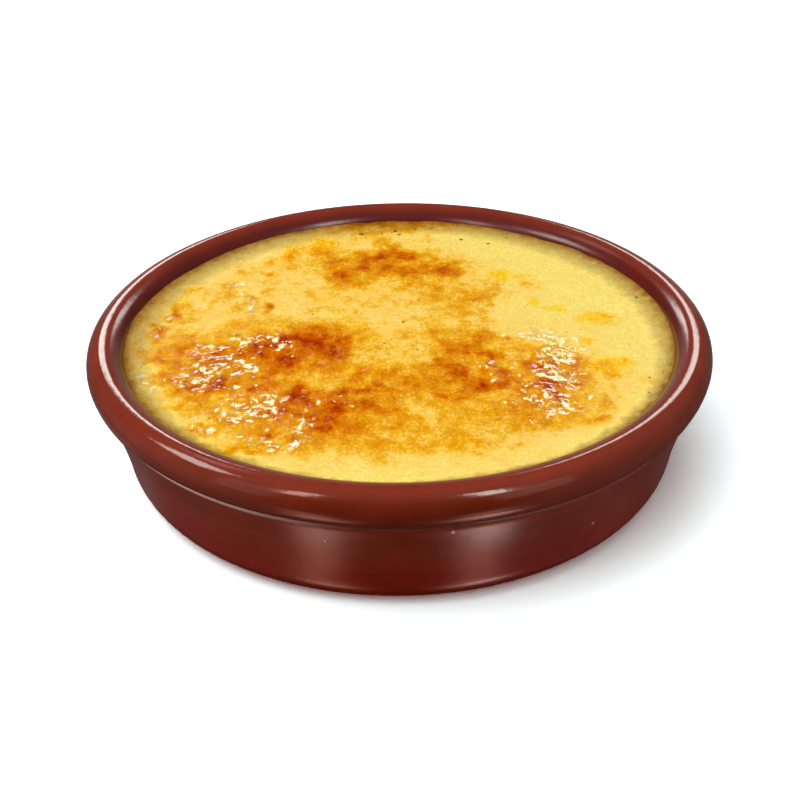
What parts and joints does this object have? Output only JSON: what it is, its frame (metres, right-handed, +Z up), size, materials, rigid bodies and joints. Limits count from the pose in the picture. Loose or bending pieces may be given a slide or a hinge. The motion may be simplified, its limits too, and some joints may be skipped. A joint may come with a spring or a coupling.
{
  "type": "creme brulee",
  "caption": "Set custard with a burnt sugar top, filling a round glazed earthenware dish with a thick rounded rim.",
  "frame": {"origin": "centre of the dish's flat base", "axes": "+Z up along the dish's axis; X and Y lie along the base, and the side shown to a viewer in front is -Y"},
  "size_m": [0.13, 0.13, 0.0308],
  "materials": {
    "glazed_earthenware": "gloss",
    "burnt_custard": "satin"
  },
  "bodies": {
    "root": {"dish": "glazed_earthenware", "custard": "burnt_custard"}
  },
  "joints": []
}
